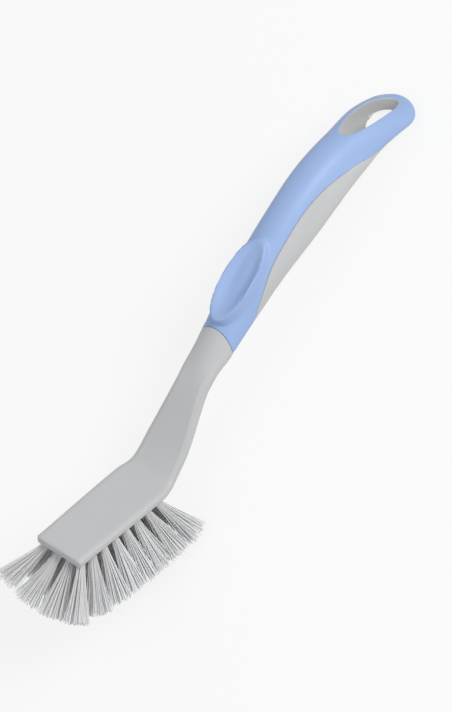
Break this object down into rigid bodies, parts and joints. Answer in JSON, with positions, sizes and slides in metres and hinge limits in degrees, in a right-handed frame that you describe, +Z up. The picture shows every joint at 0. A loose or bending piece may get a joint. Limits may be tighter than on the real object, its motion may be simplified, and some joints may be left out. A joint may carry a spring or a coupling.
{
  "type": "dish wand",
  "caption": "Curved dish-washing brush with a splayed bristle head, a soft overmoulded grip with a thumb rest and a hanging eye.",
  "frame": {"origin": "middle of the wand's box, on the worktop that it lies on", "axes": "+X from the head to the handle end, +Z up, +Y to the side"},
  "size_m": [0.2836, 0.0536, 0.0667],
  "materials": {
    "body": "fine satin",
    "grip": "soft matt",
    "bristles": "clear nylon sheen",
    "wire": "drawn wire"
  },
  "bodies": {
    "root": {"body": "body", "grip": "grip", "tuft_anchors": "wire", "tuft_1_1": "bristles", "tuft_1_2": "bristles", "tuft_1_3": "bristles", "tuft_1_4": "bristles", "tuft_2_1": "bristles", "tuft_2_2": "bristles", "tuft_2_3": "bristles", "tuft_2_4": "bristles", "tuft_3_1": "bristles", "tuft_3_2": "bristles", "tuft_3_3": "bristles", "tuft_3_4": "bristles", "tuft_4_1": "bristles", "tuft_4_2": "bristles", "tuft_4_3": "bristles", "tuft_4_4": "bristles", "tuft_5_1": "bristles", "tuft_5_2": "bristles", "tuft_5_3": "bristles", "tuft_5_4": "bristles", "tuft_6_1": "bristles", "tuft_6_2": "bristles", "tuft_6_3": "bristles", "tuft_6_4": "bristles", "tuft_7_1": "bristles", "tuft_7_2": "bristles", "tuft_7_3": "bristles", "tuft_7_4": "bristles", "tuft_8_1": "bristles", "tuft_8_2": "bristles", "tuft_8_3": "bristles", "tuft_8_4": "bristles"}
  },
  "joints": []
}
